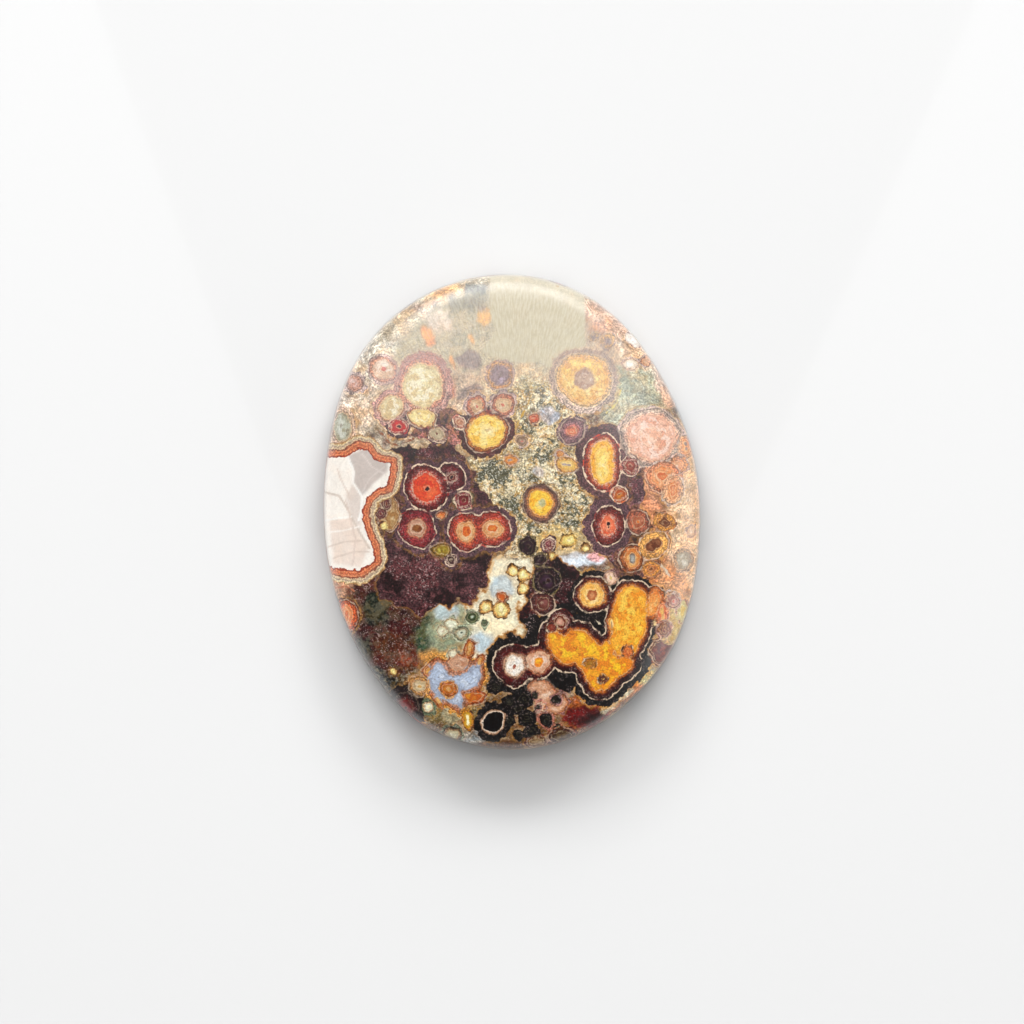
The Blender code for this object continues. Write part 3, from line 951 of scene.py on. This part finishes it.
def tint(colour, by):
    # red, green and blue each times its own number
    return put("ShaderNodeVectorMath", {0: colour, 1: by}, operation="MULTIPLY")


def field(name):
    # a distance or a share that the mesh carries
    return put("ShaderNodeAttribute", {}, 2, attribute_name=name)


def paint(name):
    # a colour that the mesh carries
    return put("ShaderNodeAttribute", {}, 0, attribute_name=name)


stonePlace = put("ShaderNodeTexCoord", {}, 3)


def grain(scale, detail=2.0, move=(0, 0, 0), stretch=(1, 1, 1)):
    # three grains at once, each from 0 to 1 and mostly near a half
    moved = put("ShaderNodeMapping", {0: stonePlace, 1: move, 3: stretch})
    noise = put("ShaderNodeTexNoise", {"Vector": moved, "Scale": scale, "Detail": detail}, 1)
    split = tree.nodes.new("ShaderNodeSeparateColor")
    tree.links.new(noise, split.inputs[0])
    return split.outputs


def band(distance, width):
    # one line along distance zero, whole over the middle third of its width
    away = put("ShaderNodeMath", {0: distance}, operation="ABSOLUTE")
    return step(away, width, width * 0.35)


def rings(distance, spacing):
    # light and dark in turn, a sine of the distance, from 0 to 1
    wave = put("ShaderNodeMath", {0: times(distance, 2 * math.pi / spacing)}, operation="SINE")
    return sum2(times(wave, 0.5), 0.5)


# The grains, from small to large, and how far they shake an edge
fine = grain(agate["fineGrain"], 2)
mid = grain(agate["midGrain"], 3, move=(0, 0.1, 0))
broad = grain(agate["mottle"], 3, move=(0, 0, 0.1))
lump = grain(agate["lumpGrain"], 4, move=(0.1, 0.1, 0))
patchy = grain(agate["cloud"], 3, move=(0.5, 0, 0))
swirl = grain(agate["swirl"], 1.5, move=(0.3, 0, 0))
edges = grain(agate["midGrain"] * 0.75, 3, move=(0.1, 0, 0))
mossy = grain(agate["midGrain"] * 0.9, 4, move=(0.2, 0, 0))
fineShaker = times(sum2(fine[1], -0.5), agate["shake"])
shaker = sum2(times(sum2(edges[0], -0.5), 2 * agate["shake"]), times(fineShaker, 0.5))
wideShaker = times(sum2(edges[1], -0.5), 3 * agate["shake"])
salt = times(step(fine[2], 0.54, 0.62), step(mid[2], 0.42, 0.56))

# What the haze does under it: grain is calmer, edges are softer, and fine lines are fainter
hazy = field("polishHaze")
calm = step(hazy, 0.04, 0.17, 1.0, 0.4)
crisp = step(hazy, 0.04, 0.17, 1.0, 0.2)
soft = times(step(hazy, 0.05, 0.22), agate["hazeBlur"])
even = times(sum2(times(field("even"), -1.0), 1.0), calm)

# The distances with their edges shaken
halo = sum2(field("haloGap"), sum2(wideShaker, times(fineShaker, 0.6)))
dark = sum2(field("darkGap"), sum2(wideShaker, times(fineShaker, 0.6)))
body = sum2(field("bodyGap"), times(shaker, 0.75))
core = sum2(field("coreGap"), shaker)
pupil = sum2(field("pupilGap"), shaker)
lace = sum2(field("laceGap"), sum2(times(wideShaker, 0.6), times(fineShaker, 0.5)))
stroke = sum2(field("strokeGap"), times(shaker, 0.5))
paleLine = field("paleLine")
moss = times(times(field("grains"), step(field("laceGap"), -1.0, 0.0)), calm)
swirls = rings(sum2(times(swirl[0], agate["swirlLines"]), times(wideShaker, 0.12)), agate["groundBands"])


def edge(distance, half):
    # from nothing outside an edge to all of it inside, wider where the haze is thick
    return step(distance, sum2(soft, half), times(sum2(soft, half), -1.0))


def uneven(low, high, share):
    # a brightness around one, held back where the stone is even
    factor = step(share, 0.34, 0.66, low - 1, high - 1)
    return sum2(times(factor, even), 1.0)


def mossPatch(number, low, high):
    # grains that gather into patches: the mean of a fine and a broad grain
    return step(sum2(times(mossy[number], 0.5), times(patchy[number], 0.5)), low, high)


def layGroundColours():
    # the patches' colours in warm and dark clouds, crossed by nested dark and pale lines
    look = paint("groundColour")
    look = cover(look, tint(look, (1.15, 0.8, 0.52)), times(times(step(patchy[0], 0.49, 0.6), even), 0.6))
    look = cover(look, tint(look, (0.5, 0.46, 0.45)), times(times(step(broad[1], 0.52, 0.64), even), 0.5))
    look = brighten(look, uneven(0.75, 1.3, broad[2]))
    look = brighten(look, uneven(0.74, 1.35, fine[0]))
    lined = times(even, sum2(times(moss, -0.8), 1.0))
    lined = times(lined, step(mid[2], 0.4, 0.56, 0.2, 1.0))
    look = cover(look, tint(look, (0.5, 0.38, 0.33)), times(times(step(swirls, 0.4, 0.05), lined), 0.6))
    return cover(look, tint(look, (1.75, 1.6, 1.5)), times(times(step(swirls, 0.68, 0.98), lined), 0.6))


def layMoss(look):
    # olive, pale, golden and dark grains one over the other, then dust, and faint bands that
    # follow the halos
    look = cover(look, shade(agate["mossOlive"]), times(mossPatch(2, 0.5, 0.56), times(moss, 0.75)))
    look = cover(look, shade(agate["mossPale"]), times(mossPatch(0, 0.5, 0.555), times(moss, 0.88)))
    look = cover(look, tint(look, (0.8, 0.62, 0.34)), times(step(lump[2], 0.48, 0.58), times(moss, 0.8)))
    look = cover(look, shade(agate["mossDark"]), times(mossPatch(1, 0.505, 0.555), times(moss, 0.9)))
    look = cover(look, shade(agate["mossSpark"]), times(step(fine[1], 0.54, 0.61), times(moss, 0.45)))
    look = brighten(look, sum2(times(times(step(fine[0], 0.36, 0.64, -1.0, 1.0), moss), 0.3), 1.0))
    look = cover(look, shade(agate["dustColour"]), times(times(field("dust"), salt), 0.5))
    near = times(step(halo, 13.0, 5.0), even)
    bands = step(rings(halo, agate["groundBands"]), 0.1, 0.9, -0.24, 0.2)
    return brighten(look, sum2(times(bands, near), 1.0))


def layDarkGround(look):
    # a golden edge, brighter beside pale ground, round a dark in which blacker and warmer
    # clouds, swirl lines and pale dust lie
    beside = step(field("even"), 0.0, 0.3, 0.22, 1.0)
    golden = times(times(step(dark, 4.6, 0.8), step(mid[1], 0.36, 0.54, 0.45, 1.0)), beside)
    look = cover(look, shade(agate["outline"]), golden)
    look = cover(look, shade(agate["outlineDeep"]), times(times(step(dark, 2.6, 0.4), beside), 0.8))
    own = paint("darkColour")
    inside = cover(own, tint(own, (0.34, 0.30, 0.30)), step(patchy[1], 0.44, 0.6))
    inside = cover(inside, tint(own, (1.9, 1.2, 1.15)), times(step(patchy[2], 0.47, 0.62), 0.7))
    inside = cover(inside, tint(own, (2.6, 2.3, 2.2)), times(step(broad[0], 0.54, 0.66), 0.6))
    inside = cover(inside, tint(inside, (0.5, 0.46, 0.46)), times(step(swirls, 0.5, 0.1), 0.7))
    inside = brighten(inside, step(fine[0], 0.34, 0.66, 0.35, 1.9))
    dusty = times(times(salt, step(patchy[2], 0.42, 0.6)), 0.4)
    inside = cover(inside, shade(agate["dustColour"]), dusty)
    return cover(look, inside, edge(dark, 0.6))


def layStrokes(look):
    # each stroke's colour, broken by grain
    broken = times(step(stroke, 0.6, -0.2), step(mid[0], 0.36, 0.5, 0.25, 1.0))
    return cover(look, paint("strokeColour"), broken)


def layHalos(look):
    # a golden fade outside, weaker on dark ground and weakest on plum, then the halo itself
    golden = times(step(halo, 4.2, 0.8), step(paleLine, 0.0, 0.8, 0.2, 0.75))
    plum = step(put("ShaderNodeRGBToBW", {0: paint("darkColour")}), 0.01, 0.035, -1.0, -0.6)
    golden = times(times(golden, sum2(times(step(dark, 1.0, -1.0), plum), 1.0)), crisp)
    look = cover(look, shade(agate["outline"]), times(golden, step(mid[1], 0.38, 0.56, 0.15, 1.0)))
    inside = paint("haloColour")
    inside = brighten(inside, sum2(times(step(fine[0], 0.36, 0.66, -0.5, 0.7), crisp), 1.0))
    inside = brighten(inside, sum2(times(step(broad[2], 0.35, 0.65, -0.35, 0.35), crisp), 1.0))
    inside = brighten(inside, step(rings(halo, agate["ringBands"]), 0.0, 1.0, 0.75, 1.25))
    inside = cover(inside, shade(agate["dustColour"]), times(times(salt, crisp), 0.1))
    return cover(look, inside, edge(halo, 0.6))


def layRings(look):
    # a broken pale line round the orb, then a ring with finer rings inside it, which glows
    # towards the core and is flecked beside it
    own = paint("ringColour")
    line = times(times(band(sum2(body, -0.8), agate["lineWidth"]), paleLine), crisp)
    lineLook = cover(tint(own, (2.2, 2.0, 1.8)), shade(agate["lineColour"]), step(broad[1], 0.36, 0.5))
    look = cover(look, lineLook, times(line, step(mid[0], 0.38, 0.5, 0.3, 1.0)))
    inside = brighten(own, step(body, 0.0, -6.0, 0.6, 1.35))
    inside = cover(inside, tint(inside, (1.3, 1.15, 1.05)), step(lump[0], 0.5, 0.62))
    inside = cover(inside, tint(inside, (0.5, 0.45, 0.5)), times(step(lump[1], 0.5, 0.62), 0.8))
    inside = cover(inside, tint(paint("coreColour"), (0.7, 0.42, 0.27)), step(core, 4.5, 0.0, 0.0, 0.7))
    finer = rings(sum2(body, times(wideShaker, 0.2)), agate["ringBands"])
    inside = brighten(inside, step(finer, 0.0, 1.0, 0.78, 1.22))
    inside = brighten(inside, step(fine[0], 0.34, 0.66, 0.55, 1.6))
    inside = cover(inside, shade(agate["dustColour"]), times(salt, 0.18))
    flecked = times(step(core, 4.6, 1.2), step(fine[1], 0.47, 0.56))
    flecked = times(flecked, step(paleLine, 0.8, 0.88, 0.0, 0.5))
    inside = cover(inside, shade(agate["fleckColour"]), flecked)
    return cover(look, inside, edge(body, 0.4))


def lumpy(colour, distance):
    # deeper at the edge and paler in the middle, in lumps: pale is the smaller of the colour
    # to the power 0.55 and the colour times a factor, deep is its power 1.35
    deep = tint(put("ShaderNodeGamma", {0: colour, 1: 1.35}), (0.95, 0.86, 0.8))
    pale = put("ShaderNodeVectorMath", {0: put("ShaderNodeGamma", {0: colour, 1: 0.55}),
                                        1: tint(colour, (1.6, 1.9, 2.6))}, operation="MINIMUM")
    mix = cover(colour, deep, step(distance, -4.0, 0.0, 0.0, 0.5))
    mix = cover(mix, deep, times(step(lump[1], 0.48, 0.56), 0.85))
    mix = cover(mix, pale, times(step(lump[0], 0.49, 0.57), step(distance, -0.5, -4.5, 0.15, 0.8)))
    mix = cover(mix, tint(deep, (0.5, 0.34, 0.3)), times(step(mid[2], 0.6, 0.66), 0.5))
    return brighten(mix, step(fine[0], 0.34, 0.66, 0.86, 1.16))


def layCores(look):
    # a pale edge, the core with faint rings, a pale edge again, and the pupil
    edgeLook = cover(paint("coreColour"), shade(agate["coreEdge"]), 0.45)
    edged = times(step(paleLine, 0.0, 0.4, 0.08, 0.6), crisp)
    edged = times(edged, step(mid[0], 0.38, 0.54, 0.2, 1.0))
    look = cover(look, edgeLook, times(band(sum2(core, -0.2), 1.0), edged))
    faint = rings(sum2(core, times(wideShaker, 0.25)), agate["coreBands"])
    inside = brighten(lumpy(paint("coreColour"), core), step(faint, 0.0, 1.0, 0.9, 1.07))
    look = cover(look, inside, edge(core, 0.5))
    look = cover(look, edgeLook, times(band(sum2(pupil, -0.6), 0.8), edged))
    return cover(look, lumpy(paint("pupilColour"), pupil), edge(pupil, 0.6))


def layLace(look):
    # the band round the quartz: its colours in order of distance from the pocket's edge
    low, high = agate["laceFrom"], agate["laceTo"]
    ramp = tree.nodes.new("ShaderNodeValToRGB")
    stops = ramp.color_ramp.elements
    for number, (distance, colour) in enumerate(agate["lace"]):
        at = (distance - low) / (high - low)
        stop = stops[number] if number < 2 else stops.new(at)
        stop.position = at
        stop.color = shade(colour)
    tree.links.new(put("ShaderNodeMapRange", {0: lace, 1: low, 2: high}), ramp.inputs[0])
    inside = brighten(ramp.outputs[0], step(fine[0], 0.34, 0.66, 0.68, 1.35))
    return cover(look, inside, times(step(lace, -1.3, -0.9), step(lace, 12.8, 12.0)))


def layPaintedSheenStreaks(look):
    # painted sheen: fine lighter and darker streaks, as scratches that catch the polish's
    # reflection, running in towards the middle: a noise of the direction and, much slower, of the
    # distance, added to the colour in proportion to the haze
    apart = put("ShaderNodeSeparateXYZ", {0: stonePlace}).node.outputs
    turn = put("ShaderNodeMath", {0: apart[0], 1: apart[1]}, operation="ARCTAN2")
    reach = put("ShaderNodeVectorMath", {0: stonePlace}, 1, operation="LENGTH")
    polar = put("ShaderNodeCombineXYZ", {0: times(turn, 110.0), 1: times(reach, 1500.0)})
    streaks = put("ShaderNodeTexNoise", {"Vector": polar, "Scale": 1.0, "Detail": 3.0}, 0)
    # painted sheen in the base colour: lighter and darker by turns where the haze lies
    paintedSheen = times(step(streaks, 0.32, 0.68, -1.0, 1.0), times(hazy, 0.32))
    grey = put("ShaderNodeCombineXYZ", {axis: paintedSheen for axis in range(3)})
    return put("ShaderNodeVectorMath", {0: look, 1: grey}, operation="ADD")


def polishStone(look):
    # the colour seen under the lamps divided by their light gives the stone's own, which then
    # gets a clear coat and faint scratches
    look = brighten(look, put("ShaderNodeMath", {0: 1.0, 1: field("lampLevel")}, operation="DIVIDE"))
    look = put("ShaderNodeVectorMath", {0: look, 1: agate["darkest"]}, operation="MAXIMUM")
    scratches = grain(900, 4, move=(0.4, 0, 0), stretch=(9, 0.6, 1))
    height = sum2(times(scratches[0], 0.5), times(fine[0], 0.5))
    bump = put("ShaderNodeBump", {"Strength": 0.10, "Distance": 0.00006, "Height": height})
    shader = tree.nodes["Principled BSDF"]
    tree.links.new(look, shader.inputs["Base Color"])
    tree.links.new(bump, shader.inputs["Normal"])
    for name in ("Roughness", "IOR", "Coat Weight", "Coat Roughness", "Coat IOR"):
        shader.inputs[name].default_value = agate["polish"][name]


look = layGroundColours()
for lay in (layMoss, layDarkGround, layStrokes, layHalos, layRings, layCores, layLace, layPaintedSheenStreaks):
    look = lay(look)
polishStone(look)
stone.data.materials.append(material)
print("material made")


# Floor, lights and camera

studio = {
    "floorSize": 4.0,  # m
    "floorGrey": 0.40,
    "worldStrength": 0.02,
    "cameraDistance": markings["seenFrom"],
    "pictureWidth": 1024,  # map units across the picture
    "sensorWidth": 36.0,
    # direction the light comes from (0 is the picture's right, 90 its top), degrees above the
    # floor, distance in m, size in m, power in W, and whether the polish reflects it
    "lamps": {
        "topSoftbox": (88, 47, 0.80, (1.5, 0.75), 11.5, True),
        "lowTopSoftbox": (92, 20, 0.90, (0.9, 0.30), 3.3, True),
        "rightSoftbox": (-6, 15, 0.80, (0.9, 0.40), 2.3, True),
        "leftLamp": (178, 24, 0.80, (0.9, 0.5), 1.8, False),
        "overheadFill": (-90, 68, 1.20, (1.6, 1.2), 6.0, False),
    },
    # lamps that only the floor receives: two widen the stone's shadow towards the bottom, and one
    # lightens it
    "floorLamps": {
        "upperRightLamp": (68, 22, 1.60, (0.60, 0.30), 24.5, False),
        "upperLeftLamp": (112, 22, 1.60, (0.60, 0.30), 24.5, False),
        "overheadLamp": (90, 85, 1.20, (1.0, 1.0), 2.6, False),
    },
}


def makeFloor():
    # one square of matt grey paper under the stone
    half = studio["floorSize"] / 2
    mesh = bpy.data.meshes.new("paleFloor")
    corners = [(-half, -half, 0), (half, -half, 0), (half, half, 0), (-half, half, 0)]
    mesh.from_pydata(corners, [], [(0, 1, 2, 3)])
    floor = bpy.data.objects.new("paleFloor", mesh)
    bpy.context.scene.collection.objects.link(floor)
    paper = bpy.data.materials.new("palePaper")
    paper.use_nodes = True
    shader = paper.node_tree.nodes["Principled BSDF"]
    grey = studio["floorGrey"]
    shader.inputs["Base Color"].default_value = (grey, grey, grey, 1)
    shader.inputs["Roughness"].default_value = 1.0
    shader.inputs["Specular IOR Level"].default_value = 0.0
    mesh.materials.append(paper)
    return floor


def softLight(name, turn, rise, away, size, power, inGloss):
    # a rectangle placed by its direction, its height in degrees and its distance, facing the stone
    data = bpy.data.lights.new(name, "AREA")
    data.shape = "RECTANGLE"
    data.size, data.size_y = size
    data.energy = power
    lamp = bpy.data.objects.new(name, data)
    turn, rise = math.radians(turn), math.radians(rise)
    lamp.location = (away * math.cos(rise) * math.cos(turn), away * math.cos(rise) * math.sin(turn),
                     away * math.sin(rise))
    lamp.rotation_euler = (-lamp.location).to_track_quat("-Z", "Y").to_euler()
    lamp.visible_camera = False
    lamp.visible_glossy = inGloss
    bpy.context.scene.collection.objects.link(lamp)
    return lamp


def makeLights(floor):
    # the stone's lamps, the floor's own, and a faint white world
    for name, lamp in studio["lamps"].items():
        softLight(name, *lamp)
    lit = bpy.data.collections.new("floorOnly")
    lit.objects.link(floor)
    for name, lamp in studio["floorLamps"].items():
        softLight(name, *lamp).light_linking.receiver_collection = lit
    world = bpy.data.worlds.new("studioWorld")
    world.use_nodes = True
    background = world.node_tree.nodes["Background"]
    background.inputs["Strength"].default_value = studio["worldStrength"]
    background.inputs["Color"].default_value = (1, 1, 1, 1)
    bpy.context.scene.world = world


def makeCamera():
    # straight above; the focal length is such that the picture's width holds as many map units
    # at the wall's height as studio says
    unitSize = (stoneHigh[1] - stoneLow[1]) / markings["unitsLong"]
    data = bpy.data.cameras.new("camera")
    data.sensor_width = studio["sensorWidth"]
    data.lens = studio["sensorWidth"] * studio["cameraDistance"] / (studio["pictureWidth"] * unitSize)
    data.clip_start = 0.01
    data.clip_end = 10
    camera = bpy.data.objects.new("camera", data)
    camera.location = (0, 0, studio["cameraDistance"] + stoneShape["wallHeight"] * mm)
    bpy.context.scene.collection.objects.link(camera)
    bpy.context.scene.camera = camera


makeLights(makeFloor())
makeCamera()
bpy.context.scene.view_settings.view_transform = "Standard"
print("floor, lights and camera placed")
